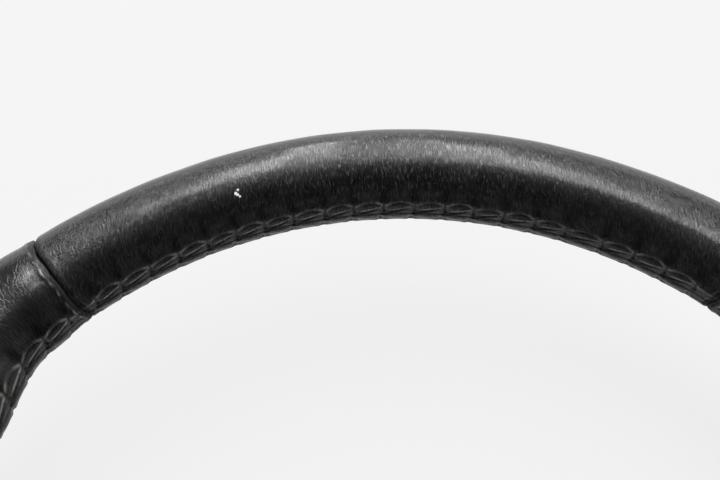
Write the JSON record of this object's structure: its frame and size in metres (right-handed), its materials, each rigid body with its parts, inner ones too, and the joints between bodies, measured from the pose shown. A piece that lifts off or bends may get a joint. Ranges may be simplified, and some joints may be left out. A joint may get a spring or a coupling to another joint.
{
  "type": "car steering wheel",
  "caption": "Leather-wrapped car steering wheel with a laced inner seam, thumb rests, moulded spoke covers and a sprung horn pad over an airbag module.",
  "frame": {"origin": "on the steering axis, at the back face of the hub boss and of the rear cover's ring", "axes": "+Z along the steering axis towards the driver, +Y to twelve o'clock, +X to the driver's right"},
  "size_m": [0.372, 0.37, 0.0804],
  "materials": {
    "cast_magnesium": "die-cast, raw",
    "machined_steel": "machined",
    "zinc_steel": "zinc plated",
    "spring_steel": "drawn wire",
    "moulded_foam": "moulded polyurethane",
    "black_leather": "fine grain, worn semi-gloss",
    "waxed_thread": "waxed",
    "spoke_plastic": "satin paint",
    "grained_plastic": "fine moulded grain",
    "pad_plastic": "leather-like moulded grain",
    "bush_plastic": "moulded",
    "contact_brass": "stamped",
    "bag_cloth": "woven"
  },
  "bodies": {
    "wheel": {"armature": "cast_magnesium", "hub_boss": "machined_steel", "rim_foam": "moulded_foam", "leather_top": "black_leather", "leather_left_grip": "black_leather", "leather_right_grip": "black_leather", "leather_bottom": "black_leather", "lacing_top": "waxed_thread", "lacing_left": "waxed_thread", "lacing_right": "waxed_thread", "lacing_bottom": "waxed_thread", "left_spoke_cover": "spoke_plastic", "right_spoke_cover": "spoke_plastic", "lower_spoke_cover": "spoke_plastic", "rear_cover": "grained_plastic", "rear_cover_screws": "zinc_steel", "guide_bushes": "bush_plastic", "contact_rivets": "contact_brass", "horn_springs": "spring_steel"},
    "horn_module": {"horn_pad": "pad_plastic", "airbag_housing": "zinc_steel", "airbag_cushion": "bag_cloth", "inflator": "zinc_steel", "retainer_ring": "zinc_steel", "module_nuts": "zinc_steel", "guide_pins": "machined_steel", "pin_clips": "spring_steel", "contact_plate": "contact_brass"}
  },
  "joints": [
    {"name": "horn_press", "type": "slide", "parent": "wheel", "child": "horn_module", "axis": [0, 0, -1], "range_m": [0, 0.0025], "stiffness_N_per_m": 6000, "springref_m": -0.005, "deforming": ["horn_springs"]}
  ]
}
